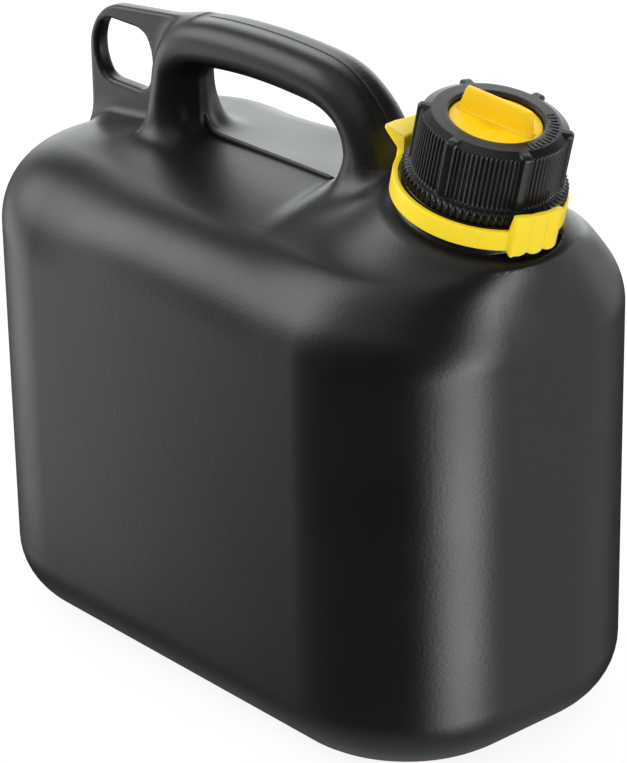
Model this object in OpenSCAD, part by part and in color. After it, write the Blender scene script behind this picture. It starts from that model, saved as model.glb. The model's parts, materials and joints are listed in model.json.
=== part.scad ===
// Five-litre fuel can: blow-moulded tank with carry handle, hanging eye and threaded neck,
// screw cap with a loose closure disc and gasket, and a squeeze ring that locks the cap.
// Millimetres. +X is the cap end, -Y the near long side, +Z up. The origin is the centre of the base.

/* [Tank] */
// Overall length of the tank
tank_length = 265; // [240:1:300]
// Overall width of the tank
tank_width = 147.4; // [140:0.2:170]
// Height of the side walls' top edge, before the pitched top
tank_height = 193.2; // [180:0.2:220]
// Radius of the four upright corners
corner_r = 56.6; // [45:0.2:60]
// Radius around the base
base_edge_r = 25.8; // [15:0.2:30]
// Radius around the top
top_edge_r = 29.7; // [20:0.2:32]
// Slope of the pitched top, in degrees
roof_pitch = 6.5; // [3:0.5:8]
// Wall thickness of the moulding
wall = 2; // [1.5:0.1:3]

/* [Handle and hanging eye] */
// Width of the grip across the can
grip_width = 26; // [22:0.5:32]
// Thickness of the grip
grip_thickness = 18.5; // [18:0.5:22]
// Corner radius of the grip's section
grip_corner_r = 9; // [6:0.5:9.5]
// Height of the grip's centre line
grip_z = 239; // [232:0.5:242]
// Place of the rear post along the can
rear_post_x = -71; // [-76:0.5:-66]
// Place of the front post along the can
front_post_x = 45; // [40:0.5:46]
// Centre-line radius of the rear bend
rear_bend_r = 15; // [12:0.5:20]
// Centre-line radius of the front bend
front_bend_r = 32; // [26:0.5:34]
// Thickness of the hanging eye's plate
eye_thickness = 6.6; // [5:0.2:8]
// Radius of the eye's hole, before its flats
eye_hole_r = 17.4; // [15:0.2:20]
// Height of the eye's hole between its flats
eye_hole_height = 25.4; // [20:0.2:30]

/* [Filler neck] */
// Lean of the neck towards the cap end, in degrees
neck_tilt = 14; // [10:0.5:18]
// Bore radius of the neck
neck_bore_r = 16.5; // [14:0.1:16.8]
// Outer radius of the neck under its thread
neck_r = 19.2; // [18.9:0.1:19.3]
// Radius of the neck's foot, which carries the lock ring
foot_r = 29.4; // [29:0.1:29.6]
// Pitch of the cap's thread
thread_pitch = 6; // [5:0.5:7]

/* [Screw cap] */
// Radius of the opening in the cap's top
cap_opening_r = 17.4; // [17.3:0.1:18]
// Radius of the cap's top edge
cap_top_r = 23.6; // [23:0.1:24.4]
// Radius of the knurl at its upper end
knurl_top_r = 26.8; // [26:0.1:27]
// Radius of the knurl at its lower end
knurl_foot_r = 27.1; // [27:0.1:28]
// Radius over the lobes
lobe_r = 28.2; // [27.6:0.1:28.6]
// Width of a lobe
lobe_width = 5; // [4:0.2:6]
// Number of knurl ribs
knurl_count = 96; // [60:6:96]
// Radius over the locking teeth
tooth_r = 30.5; // [30:0.1:30.6]
// Number of locking teeth
tooth_count = 72; // [48:2:72]

/* [Closure disc] */
// Length of the grip fin at its foot
fin_length = 29; // [24:0.5:30]
// Height of the grip fin above the disc
fin_height = 9; // [6:0.2:10]
// Thickness of the grip fin at its foot
fin_thickness = 3.8; // [3:0.1:5]
// Direction of the grip fin from the can's long axis, in degrees
fin_angle = 18; // [0:1:180]

/* [Lock ring] */
// Inner radius of the ring's band
ring_inner_r = 31.2; // [31.1:0.1:31.5]
// Outer radius of the ring's band
ring_outer_r = 33; // [32.8:0.1:33.4]
// Travel of each side of the ring when it is squeezed
squeeze = 1.5; // [1:0.1:1.5]
// Width of the rear thumb tab
tab_width = 28.6; // [20:0.2:30]
// Angle that the ribbed front pad covers, in degrees
pad_angle = 36; // [24:1:40]
// Direction of the front pad's middle, in degrees
pad_middle = -8; // [-15:1:15]

/* [Hidden] */
$fn = 64;
half_length = tank_length / 2;
half_width = tank_width / 2;
post_x = half_length - corner_r;
post_y = half_width - corner_r;

// Handle and hanging eye, where they leave the tank
post_root_z = 188;
eye_root_z = 172;
eye_middle = [-103.5, 219.4];
eye_corner_r = 19;
eye_rear_x = -126;
eye_top_z = 238.4;

// Heights on the neck's own axis, measured from the middle of the cap's top face and negative downwards
cap_top = [105.9, 0, 246];
rim_top = 0.2;
cap_ceiling = -3;
knurl_top = -1.4;
flange_top = -21.7;
flange_foot = -27;
disc_top = -1.6;
disc_flange_top = -3.2;
disc_flange_foot = -4.8;
disc_skirt_foot = -9.5;
gasket_top = -4.9;
gasket_foot = -6.9;
neck_rim = -7;
foot_top = -27.4;
foot_bottom = -41;
band_top = -27.3;
band_foot = -34.8;
tongue_top = -30.6;
tongue_foot = -32;
pad_top = -20;
pad_foot = -36;
pawl_top = -22.5;

// Thread: a trapezium of these widths, standing out of the neck and into the cap
thread_root = 3;
thread_crest = 1.8;
thread_depth = 1.5;
thread_embed = 0.3;
neck_thread_start = -22.5;
neck_thread_turns = 2;
cap_inner_r = neck_r + thread_depth + 0.4;
cap_thread_start = neck_thread_start + thread_pitch / 2;
cap_thread_turns = 1.5;
thread_steps = 30;

lobe_count = 6;
lobe_angle = 41;
knurl_depth = 0.7;
tooth_depth = 1.4;
tooth_lean = 0.85;
knurl_wall = 1.2;
groove_gap = 0.4;

disc_r = cap_opening_r - 0.3;
disc_flange_r = cap_inner_r - 0.4;
disc_skirt_r = neck_bore_r - 1.3;
foot_wall = 4.4;
groove_r = foot_r - 2.4;
tongue_r = foot_r - 0.4;
clear_of_teeth_r = tooth_r + squeeze + 0.4;
pad_r = 34.4;
flute_r = 35.1;
flute_angle = 3.2;
pawl_angle = 90;
joint_gap = 0.3;

// ---------- helpers ----------

// Puts children on the neck's axis, with their Z along it and their X towards the cap end
module on_neck() translate(cap_top) rotate([0, neck_tilt, 0]) children();

// Round solid from an outline of [radius, height] points
module turned(outline, angle = 360) rotate_extrude(angle = angle) polygon(outline);

// Upright section through the tank: round base and top edges and a pitched top, all drawn in by inset
module wall_section(half, inset) {
    base_r = base_edge_r - inset;
    top_r = top_edge_r - inset;
    top_z = tank_height - top_edge_r;
    eave = [half - top_edge_r + top_r * sin(roof_pitch), top_z + top_r * cos(roof_pitch)];
    right = [[half - base_edge_r, inset], [half - inset, base_edge_r], [half - inset, top_z], eave];
    left = [for (i = [len(right) - 1:-1:0]) [-right[i].x, right[i].y]];
    polygon(concat(right, [[0, eave.y + eave.x * tan(roof_pitch)]], left));
    for (side = [-1, 1]) {
        translate([side * (half - base_edge_r), base_edge_r]) circle(base_r);
        translate([side * (half - top_edge_r), top_z]) circle(top_r);
    }
}

// The stretch of the tank where its long and cross sections both hold
module crossed_walls(span_x, span_y, inset) intersection() {
    rotate([90, 0, 90]) linear_extrude(span_x, center = true) wall_section(half_width, inset);
    rotate([90, 0, 0]) linear_extrude(span_y, center = true) wall_section(half_length, inset);
}

// Shoulder that rises from the tank's front corners and the front post to the foot of the neck
module shoulder(inset) {
    root_z = tank_height - 7;
    hull() {
        for (side = [-1, 1]) {
            translate([post_x, side * post_y, root_z]) cylinder(h = 6.8 - inset, r = 28 - inset, $fn = 48);
            translate([front_post_x + 2, side * 14, root_z])
                cylinder(h = 9 - inset, r = 24 - inset, $fn = 48);
        }
        on_neck() translate([0, 0, foot_bottom + 1]) cylinder(h = 4 - inset, r = foot_r + 3.6 - inset, $fn = 48);
    }
}

// Solid body of the tank, drawn in by inset
module tank_form(inset) {
    crossed_walls(2 * post_x, tank_width, inset);
    crossed_walls(tank_length, 2 * post_y, inset);
    for (quarter = [0:3]) {
        side_x = quarter == 0 || quarter == 3 ? 1 : -1;
        side_y = quarter < 2 ? 1 : -1;
        translate([side_x * post_x, side_y * post_y, 0]) rotate([0, 0, 90 * quarter])
            rotate_extrude(angle = 90) intersection() {
                wall_section(corner_r, inset);
                square([corner_r, 2 * tank_height]);
            }
    }
    shoulder(inset);
}

// Rounded section of the grip, drawn in by inset
module grip_section(inset) {
    across = grip_thickness / 2 - grip_corner_r;
    along = grip_width / 2 - grip_corner_r;
    r = grip_corner_r - inset;
    square([2 * (across + r), 2 * along], center = true);
    square([2 * across, 2 * (along + r)], center = true);
    for (x = [-across, across], y = [-along, along]) translate([x, y]) circle(r);
}

module grip_bend(x, z, bend_r, first_angle, inset)
    translate([x, 0, z]) rotate([90, 0, 0]) rotate([0, 0, first_angle])
        rotate_extrude(angle = 90) translate([bend_r, 0]) grip_section(inset);

module grip_post(x, top, inset)
    translate([x, 0, post_root_z]) linear_extrude(top - post_root_z) grip_section(inset);

// The whole handle as a solid that reaches down into the tank
module handle_form(inset) {
    rear_x = rear_post_x + rear_bend_r;
    front_x = front_post_x - front_bend_r;
    grip_post(rear_post_x, grip_z - rear_bend_r, inset);
    grip_post(front_post_x, grip_z - front_bend_r, inset);
    grip_bend(rear_x, grip_z - rear_bend_r, rear_bend_r, 90, inset);
    grip_bend(front_x, grip_z - front_bend_r, front_bend_r, 0, inset);
    translate([rear_x, 0, grip_z]) rotate([0, 90, 0]) linear_extrude(front_x - rear_x) grip_section(inset);
}

// Plate of the eye as drawn from the near side: x along the can, y up
module eye_plate() {
    corner = [eye_rear_x + 1.2 + eye_corner_r, eye_top_z + 0.4 - eye_corner_r];
    linear_extrude(eye_thickness, center = true) polygon([
        [eye_rear_x, eye_root_z], [eye_rear_x, 205], [eye_rear_x + 1.6, 224], [corner.x + 1.5, eye_top_z],
        [rear_post_x + 7, 243.9], [rear_post_x + 7, eye_root_z]]);
    translate(corner) cylinder(h = eye_thickness, r = eye_corner_r, center = true);
}

module eye_hole() translate(eye_middle) intersection() {
    cylinder(h = 2 * eye_thickness, r = eye_hole_r, center = true);
    cube([2 * eye_hole_r, eye_hole_height, 2 * eye_thickness], center = true);
}

// Helical rib: root_r is its buried radius, crest_r its free one, on a right-hand helix
module thread_rib(root_r, crest_r, turns) {
    steps = round(turns * thread_steps);
    section = [[root_r, -thread_root / 2], [crest_r, -thread_crest / 2],
               [crest_r, thread_crest / 2], [root_r, thread_root / 2]];
    points = [for (i = [0:steps], p = section) let (a = 360 * i / thread_steps)
        [p.x * cos(a), p.x * sin(a), p.y + thread_pitch * i / thread_steps]];
    order = crest_r > root_r ? [3, 2, 1, 0] : [0, 1, 2, 3];
    sides = [for (i = [0:steps - 1], k = [0:3]) let (a = 4 * i + order[k], b = 4 * i + order[(k + 1) % 4])
        [a, a + 4, b + 4, b]];
    first = order;
    last = [for (k = [3:-1:0]) 4 * steps + order[k]];
    polyhedron(points, concat(sides, [first, last]), convexity = 4);
}

// Outline of count teeth between two radii. lean is how far along a tooth its crest is, from 0 to 1
module toothed_outline(count, inner_r, outer_r, lean = 0.5)
    polygon([for (i = [0:count - 1], p = [[0, inner_r], [lean, outer_r]])
        p[1] * [cos(360 * (i + p[0]) / count), sin(360 * (i + p[0]) / count)]]);

// Stretch of the lock ring between two angles, shortened by the joint gap at both ends
module ring_arc(from, to) {
    trim = joint_gap / 2 / ring_inner_r * 180 / PI;
    rotate([0, 0, from + trim]) turned([
        [ring_inner_r, band_foot], [ring_outer_r, band_foot], [ring_outer_r, band_top], [ring_inner_r, band_top],
        [ring_inner_r, tongue_top], [tongue_r, tongue_top], [tongue_r, tongue_foot], [ring_inner_r, tongue_foot]],
        to - from - 2 * trim);
}

// ---------- the pieces ----------

// Hollow body, open where the handle and the neck join it
module tank_shell() color("#2b2c2d") difference() {
    tank_form(0);
    tank_form(wall);
    handle_form(wall);
    on_neck() translate([0, 0, 1.5 * foot_bottom]) cylinder(h = -foot_bottom, r = foot_r);
}

module carry_handle() color("#303234") difference() {
    handle_form(0);
    handle_form(wall);
    tank_form(0);
}

// Flat solid web behind the rear post, with the hole that hangs the can on a hook
module hanging_eye() color("#34383a") difference() {
    rotate([90, 0, 0]) difference() {
        eye_plate();
        eye_hole();
    }
    tank_form(0);
    handle_form(0);
}

// Threaded neck on its wider foot, whose groove holds the lock ring
module filler_neck() color("#26272a") on_neck() union() {
    turned([
        [neck_bore_r, neck_rim], [neck_r, neck_rim], [neck_r, foot_top], [foot_r, foot_top],
        [foot_r, tongue_top + groove_gap], [groove_r, tongue_top + groove_gap],
        [groove_r, tongue_foot - groove_gap], [foot_r, tongue_foot - groove_gap], [foot_r, foot_bottom],
        [foot_r - foot_wall, foot_bottom], [foot_r - foot_wall, foot_top - wall],
        [neck_bore_r, foot_top - wall]]);
    translate([0, 0, neck_thread_start])
        thread_rib(neck_r - thread_embed, neck_r + thread_depth, neck_thread_turns);
}

// Ring nut: lobes, knurl, toothed flange and a female thread
module screw_cap() color("#2a2a2e") on_neck() union() {
    turned([
        [cap_opening_r, 0], [cap_opening_r + 0.4, rim_top], [cap_opening_r + 2, rim_top],
        [cap_top_r - 0.6, 0], [cap_top_r, -0.3], [knurl_top_r - knurl_wall, knurl_top - 0.2],
        [knurl_foot_r - knurl_wall, flange_top], [knurl_foot_r - knurl_wall, flange_foot],
        [cap_inner_r + 3, flange_foot],
        [cap_inner_r, flange_foot + 4], [cap_inner_r, cap_ceiling], [cap_opening_r, cap_ceiling]]);
    difference() {
        translate([0, 0, flange_top]) linear_extrude(knurl_top - flange_top, scale = knurl_top_r / knurl_foot_r)
            toothed_outline(knurl_count, knurl_foot_r - knurl_depth, knurl_foot_r);
        translate([0, 0, flange_top - 1]) cylinder(h = 30, r = cap_inner_r + 0.6);
    }
    difference() {
        translate([0, 0, flange_foot]) linear_extrude(flange_top - flange_foot)
            toothed_outline(tooth_count, tooth_r - tooth_depth, tooth_r, tooth_lean);
        translate([0, 0, flange_foot - 1]) cylinder(h = 30, r = knurl_foot_r - 2);
    }
    difference() {
        intersection() {
            translate([0, 0, flange_top - 1]) cylinder(h = 0.5 - flange_top, r = lobe_r);
            for (i = [0:lobe_count / 2 - 1]) rotate([0, 0, lobe_angle + 360 / lobe_count * i])
                cube([3 * lobe_r, lobe_width, 100], center = true);
        }
        translate([0, 0, flange_top - 2]) cylinder(h = 30, r = knurl_foot_r - 2);
    }
    translate([0, 0, cap_thread_start])
        thread_rib(cap_inner_r + thread_embed, cap_inner_r - thread_depth + 0.1, cap_thread_turns);
}

// Loose disc under the cap's top, with a grip fin above and a centring skirt below
module closure_disc() color("#f6c81c") on_neck() {
    turned([
        [0, disc_top], [disc_r, disc_top], [disc_r, disc_flange_top], [disc_flange_r, disc_flange_top],
        [disc_flange_r, disc_flange_foot], [disc_skirt_r, disc_flange_foot], [disc_skirt_r, disc_skirt_foot],
        [disc_skirt_r - 1.8, disc_skirt_foot], [disc_skirt_r - 1.8, disc_flange_foot + 1],
        [0, disc_flange_foot + 1]]);
    rotate([0, 0, fin_angle]) intersection() {
        rotate([90, 0, 0]) linear_extrude(2 * fin_thickness, center = true) polygon([
            [-fin_length / 2, disc_top - 1], [fin_length / 2, disc_top - 1],
            [fin_length / 2, disc_top], [fin_length / 2 - 1.8, disc_top + fin_height],
            [1.8 - fin_length / 2, disc_top + fin_height], [-fin_length / 2, disc_top]]);
        rotate([90, 0, 90]) linear_extrude(2 * fin_length, center = true) polygon([
            [-fin_thickness / 2, disc_top - 1], [fin_thickness / 2, disc_top - 1],
            [fin_thickness / 4, disc_top + fin_height], [-fin_thickness / 4, disc_top + fin_height]]);
    }
}

module gasket() color("#1c1c1e") on_neck() turned([
    [disc_skirt_r + 0.4, gasket_foot], [disc_flange_r - 0.1, gasket_foot],
    [disc_flange_r - 0.1, gasket_top], [disc_skirt_r + 0.4, gasket_top]]);

// Ribbed pad that the fingers press
module lock_front_pad() color("#fbe02a") on_neck() union() {
    ring_arc(-45, 45);
    rotate([0, 0, pad_middle - pad_angle / 2]) turned([
        [ring_outer_r - 0.4, pad_foot], [pad_r, pad_foot], [pad_r, pad_top], [clear_of_teeth_r, pad_top],
        [clear_of_teeth_r, band_top], [ring_outer_r - 0.4, band_top]], pad_angle);
    for (i = [-1.5:1.5]) rotate([0, 0, pad_middle + i * pad_angle / 4 - flute_angle / 2]) turned([
        [pad_r - 0.4, pad_foot + 0.5], [flute_r, pad_foot + 1.5],
        [flute_r, pad_top - 1.5], [pad_r - 0.4, pad_top - 0.5]], flute_angle);
}

// Flared tab that the thumb presses
module lock_rear_tab() color("#fbe02a") on_neck() union() {
    ring_arc(135, 225);
    intersection() {
        turned([
            [ring_outer_r - 0.4, band_foot], [34.6, band_foot], [35.2, -25.6], [40, -21.6], [38.6, -20],
            [clear_of_teeth_r, -24], [clear_of_teeth_r, band_top], [ring_outer_r - 0.4, band_top]]);
        translate([-60, -tab_width / 2, -60]) cube([60, tab_width, 60]);
    }
}

// Plain side of the ring, which bows outwards when the ring is squeezed
module lock_near_arc() color("#fbe02a") on_neck() ring_arc(225, 315);

// Side of the ring that carries the pawl beside the cap's teeth
module lock_far_arc() color("#fbe02a") on_neck() union() {
    ring_arc(45, 135);
    rotate([0, 0, pawl_angle - 8]) turned([
        [ring_inner_r + 0.5, band_top - 1], [ring_outer_r, band_top - 1],
        [ring_outer_r, pawl_top], [ring_inner_r + 0.5, pawl_top]], 16);
    rotate([0, 0, pawl_angle - 2]) turned([
        [tooth_r + 0.35, band_top + 0.8], [ring_outer_r - 0.5, band_top + 0.8],
        [ring_outer_r - 0.5, pawl_top], [tooth_r + 0.35, pawl_top]], 4);
}

tank_shell();
carry_handle();
hanging_eye();
filler_neck();
screw_cap();
closure_disc();
gasket();
lock_front_pad();
lock_rear_tab();
lock_near_arc();
lock_far_arc();
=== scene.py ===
"""Blender scene of a five-litre fuel can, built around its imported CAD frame.

The tank, its carry handle and its hanging eye are one smooth moulding, meshed from a distance field.
The cap, the closure disc, the lock ring and the neck are turned around the neck's leaning axis.
Shapes are worked out in millimetres and become metres when a mesh is made.
"""

import json
import math

import bpy
import numpy as np
from mathutils import Matrix, Vector


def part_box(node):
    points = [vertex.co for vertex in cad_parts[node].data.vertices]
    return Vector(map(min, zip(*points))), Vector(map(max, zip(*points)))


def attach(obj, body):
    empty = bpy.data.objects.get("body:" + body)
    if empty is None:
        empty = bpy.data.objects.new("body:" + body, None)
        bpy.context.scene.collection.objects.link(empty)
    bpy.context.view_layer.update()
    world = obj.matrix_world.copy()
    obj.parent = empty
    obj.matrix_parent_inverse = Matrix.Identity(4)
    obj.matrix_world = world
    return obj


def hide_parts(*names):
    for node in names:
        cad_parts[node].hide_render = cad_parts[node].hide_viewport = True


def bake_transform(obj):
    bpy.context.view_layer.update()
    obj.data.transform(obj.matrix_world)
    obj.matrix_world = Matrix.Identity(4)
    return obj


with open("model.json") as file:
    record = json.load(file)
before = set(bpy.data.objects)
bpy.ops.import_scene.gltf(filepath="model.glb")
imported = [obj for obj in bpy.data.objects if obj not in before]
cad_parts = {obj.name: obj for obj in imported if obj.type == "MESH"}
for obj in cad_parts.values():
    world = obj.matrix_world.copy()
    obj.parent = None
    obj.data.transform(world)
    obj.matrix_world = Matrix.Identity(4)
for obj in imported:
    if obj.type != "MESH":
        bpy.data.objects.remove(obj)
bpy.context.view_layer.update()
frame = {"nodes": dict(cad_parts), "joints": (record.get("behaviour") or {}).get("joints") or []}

MM = 0.001


def corners_mm(node):
    """Lowest and highest corners of a CAD node, in millimetres."""
    low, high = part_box(node)
    return np.array(low) / MM, np.array(high) / MM


# ---------------------------------------------------------------- driving sizes, in millimetres

TANK_LOW, TANK_HIGH = corners_mm("tank_shell")
HALF_LENGTH = (TANK_HIGH[0] - TANK_LOW[0]) / 2
HALF_WIDTH = (TANK_HIGH[1] - TANK_LOW[1]) / 2
SHOULDER_Z = 193.2
CORNER_R = 56.6
BASE_EDGE_R = 25.8
TOP_EDGE_R = 29.7
ROOF_PITCH = math.radians(6.5)

# The neck's leaning axis. Heights s on it start at the cap's top face and fall away below it.
CAP_HINGE = next(j for j in frame["joints"] if j["name"] == "cap_turn")
CAP_TOP = np.array(CAP_HINGE["pos_m"]) / MM
NECK_TILT = math.atan2(CAP_HINGE["axis"][0], CAP_HINGE["axis"][2])
NECK_U = np.array([math.cos(NECK_TILT), 0, -math.sin(NECK_TILT)])
NECK_N = np.array([math.sin(NECK_TILT), 0, math.cos(NECK_TILT)])
FOOT_R = 29.4
PEDESTAL_R = 34.0
PEDESTAL_TOP = -39.0
PEDESTAL_FLARE = math.radians(40)
FOOT_SHOWN_BELOW = -35.6
PEDESTAL_RIM_R = 3
FOOT_RIM_R = 1
RECESS_X = 12.0
RECESS_EDGE_R = 22.0
THREAD_PITCH = 6.0
WELL_R = 16.5
WELL_BOTTOM = -75

# The front shoulder climbs between two places along the can: its pitch in degrees, its crest,
# and what both gain on the way
SHOULDER_FROM_X = 20
SHOULDER_TO_X = 85
SHOULDER_PITCH = 17.5
SHOULDER_PITCH_GAIN = 5
SHOULDER_CREST = 207.0
SHOULDER_CREST_GAIN = 3
SHOULDER_SINK = 1.6
SHOULDER_ROUND = 12

# The rounded top edge is wider on the long sides: most of all behind, and a little in front
EDGE_SWELL = 8
EDGE_SWELL_X = -68
EDGE_SWELL_REACH = 34
FRONT_EDGE_SWELL = 3
FRONT_EDGE_FROM_X = 10
FRONT_EDGE_TO_X = 60
STEEPEST_LEAN = 0.94

# How far each fillet reaches where two shapes meet
FOOT_FILLET = 4
RECESS_FILLET = 4
PEDESTAL_FILLET = 16
EYE_FILLET = 9
HANDLE_FILLET = 13


# ---------------------------------------------------------------- camera, lights and floor

CAMERA_AZIMUTH = math.radians(49.174)
CAMERA_ELEVATION = math.radians(24.058)
CAMERA_ROLL = math.radians(-1.04)
CAMERA_DISTANCE = 1.34086
CAMERA_TARGET = Vector((0.004468, 0, 0.11086))
CAMERA_LENS = 162.6


def make_camera():
    """The camera that took the photo, as fitted to the can's outline."""
    camera = bpy.data.objects.new("camera", bpy.data.cameras.new("camera"))
    bpy.context.scene.collection.objects.link(camera)
    turn = Matrix.Rotation(CAMERA_AZIMUTH, 4, "Z") @ Matrix.Rotation(math.pi / 2 - CAMERA_ELEVATION, 4, "X")
    turn = turn @ Matrix.Rotation(CAMERA_ROLL, 4, "Z")
    back = turn.to_3x3() @ Vector((0, 0, 1))
    camera.matrix_world = Matrix.Translation(CAMERA_TARGET + CAMERA_DISTANCE * back) @ turn
    camera.data.lens = CAMERA_LENS
    camera.data.sensor_width = 36
    camera.data.clip_start = 0.05
    camera.data.clip_end = 50
    bpy.context.scene.camera = camera


# The studio, as soft lobes of light on the sky: azimuth, elevation, the lobe's inner and outer
# half-widths, all in degrees, then its strength and colour
STUDIO = [
    ("backdrop", 133, 15, 18, 36, 2.5, (0.955, 1.0, 0.985)),
    ("ceiling", -104, 70, 18, 48, 0.65, (1, 1, 1)),
    ("backdrop_right", 92, 4, 10, 28, 0.8, (0.97, 1, 0.99)),
    ("left_softbox", -147, 31, 6, 28, 4.1, (1, 1, 1)),
    ("left_wall", -165, 0, 12, 38, 0.75, (1, 1, 1)),
    ("right_strip_low", -1, -24, 2, 23, 7.4, (1, 1, 1)),
    ("right_strip_high", 10, -2, 2, 21, 7.0, (1, 1, 1)),
    ("right_fill", 52, -12, 14, 44, 0.72, (1, 1, 1)),
    ("table_below", 0, -90, 12, 58, 0.5, (1, 1, 1)),
]
STUDIO_DARK = 0.035
STUDIO_FILL = 1.0


def make_studio():
    """White to the camera, an even fill for matt surfaces, and soft lobes of light in what shines."""
    world = bpy.data.worlds.new("studio")
    world.use_nodes = True
    bpy.context.scene.world = world
    nodes, links = world.node_tree.nodes, world.node_tree.links
    nodes.clear()
    place = nodes.new("ShaderNodeTexCoord")
    total = nodes.new("ShaderNodeCombineXYZ")
    for axis in "XYZ":
        total.inputs[axis].default_value = STUDIO_DARK
    total = total.outputs[0]
    for name, azimuth, elevation, inner, outer, strength, colour in STUDIO:
        azimuth, elevation = math.radians(azimuth), math.radians(elevation)
        towards = nodes.new("ShaderNodeVectorMath")
        towards.operation = "DOT_PRODUCT"
        towards.name = name
        towards.inputs[1].default_value = (
            math.cos(azimuth) * math.cos(elevation),
            math.sin(azimuth) * math.cos(elevation),
            math.sin(elevation),
        )
        links.new(place.outputs["Generated"], towards.inputs[0])
        edge = nodes.new("ShaderNodeMapRange")
        edge.interpolation_type = "SMOOTHSTEP"
        edge.inputs["From Min"].default_value = math.cos(math.radians(outer))
        edge.inputs["From Max"].default_value = math.cos(math.radians(inner))
        edge.inputs["To Max"].default_value = strength
        links.new(towards.outputs["Value"], edge.inputs["Value"])
        tint = nodes.new("ShaderNodeVectorMath")
        tint.operation = "SCALE"
        tint.inputs[0].default_value = colour
        links.new(edge.outputs["Result"], tint.inputs["Scale"])
        sum_up = nodes.new("ShaderNodeVectorMath")
        links.new(total, sum_up.inputs[0])
        links.new(tint.outputs[0], sum_up.inputs[1])
        total = sum_up.outputs[0]
    shader = nodes.new("ShaderNodeBackground")
    links.new(total, shader.inputs["Color"])
    path = nodes.new("ShaderNodeLightPath")
    for ray, level in (("Is Diffuse Ray", STUDIO_FILL), ("Is Camera Ray", 1)):
        even = nodes.new("ShaderNodeBackground")
        even.inputs["Color"].default_value = (level, level, level, 1)
        choose = nodes.new("ShaderNodeMixShader")
        links.new(path.outputs[ray], choose.inputs[0])
        links.new(shader.outputs[0], choose.inputs[1])
        links.new(even.outputs[0], choose.inputs[2])
        shader = choose
    out = nodes.new("ShaderNodeOutputWorld")
    links.new(shader.outputs[0], out.inputs[0])
    bpy.context.scene.view_settings.view_transform = "Standard"


FLOOR_SHADE = 0.14
FLOOR_GLOW = 0.89
FLOOR_HALF = 6.0  # metres
# Strength of the floor's painted pool of light, a glow that only glossy rays see
PAINTED_POOL_STRENGTH = 1.3
# How the floor's painted pool of light fades to the right: the place and the level there, with the two ends
# first
PAINTED_POOL_FADE = [(0, 1), (0.97, 0), (0.28, 0.67), (0.53, 0.3), (0.78, 0.14)]


def make_floor():
    """A white table. What shines sees only a glowing patch on its near side, a painted pool of light that
    fades to the right and is painted dark next to the can as the can's shadow.
    """
    material, shader = new_material("floor_white", (FLOOR_SHADE, FLOOR_SHADE, FLOOR_SHADE), 0.9)
    shader.inputs["Emission Color"].default_value = (1, 1, 1, 1)
    shader.inputs["Emission Strength"].default_value = FLOOR_GLOW
    nodes, links = material.node_tree.nodes, material.node_tree.links
    place = nodes.new("ShaderNodeNewGeometry")

    def ramp(direction, low, high, stops):
        """A shade that follows the place along a direction, from low to high in metres."""
        along = nodes.new("ShaderNodeVectorMath")
        along.operation = "DOT_PRODUCT"
        along.inputs[1].default_value = direction
        links.new(place.outputs["Position"], along.inputs[0])
        share = nodes.new("ShaderNodeMapRange")
        share.inputs["From Min"].default_value = low
        share.inputs["From Max"].default_value = high
        links.new(along.outputs["Value"], share.inputs["Value"])
        shades = nodes.new("ShaderNodeValToRGB")
        shades.color_ramp.interpolation = "EASE"
        for k, (at, level) in enumerate(stops):
            stop = shades.color_ramp.elements[k] if k < 2 else shades.color_ramp.elements.new(at)
            stop.position = at
            stop.color = (level, level, level, 1)
        links.new(share.outputs["Result"], shades.inputs["Fac"])
        return shades.outputs["Color"]

    across = ramp((1, -1.19, 0), -0.07, 0.24, PAINTED_POOL_FADE)
    # Painted shadow: the pool of light falls to nothing next to the can
    painted_shadow_by_can = ramp((0, -1, 0), 0.078, 0.12, [(0, 0), (1, 1)])
    painted_pool = nodes.new("ShaderNodeVectorMath")
    painted_pool.operation = "MULTIPLY"
    links.new(across, painted_pool.inputs[0])
    links.new(painted_shadow_by_can, painted_pool.inputs[1])
    glow = nodes.new("ShaderNodeEmission")
    glow.inputs["Strength"].default_value = PAINTED_POOL_STRENGTH
    links.new(painted_pool.outputs[0], glow.inputs["Color"])
    through = nodes.new("ShaderNodeBsdfTransparent")
    both = nodes.new("ShaderNodeAddShader")
    links.new(glow.outputs[0], both.inputs[0])
    links.new(through.outputs[0], both.inputs[1])
    path = nodes.new("ShaderNodeLightPath")
    choose = nodes.new("ShaderNodeMixShader")
    links.new(path.outputs["Is Glossy Ray"], choose.inputs[0])
    links.new(shader.outputs[0], choose.inputs[1])
    links.new(both.outputs[0], choose.inputs[2])
    out = next(n for n in nodes if n.type == "OUTPUT_MATERIAL")
    links.new(choose.outputs[0], out.inputs[0])
    material.cycles.emission_sampling = "NONE"

    half = FLOOR_HALF
    corners = [(-half, -half, 0), (half, -half, 0), (half, half, 0), (-half, half, 0)]
    mesh = bpy.data.meshes.new("floor")
    mesh.from_pydata(corners, [], [(0, 1, 2, 3)])
    mesh.materials.append(material)
    floor = bpy.data.objects.new("floor", mesh)
    bpy.context.scene.collection.objects.link(floor)
    floor.visible_diffuse = False


def new_material(name, colour, roughness):
    """A plain material and its shader."""
    material = bpy.data.materials.new(name)
    material.use_nodes = True
    shader = material.node_tree.nodes["Principled BSDF"]
    shader.inputs["Base Color"].default_value = (*colour, 1)
    shader.inputs["Roughness"].default_value = roughness
    return material, shader


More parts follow.
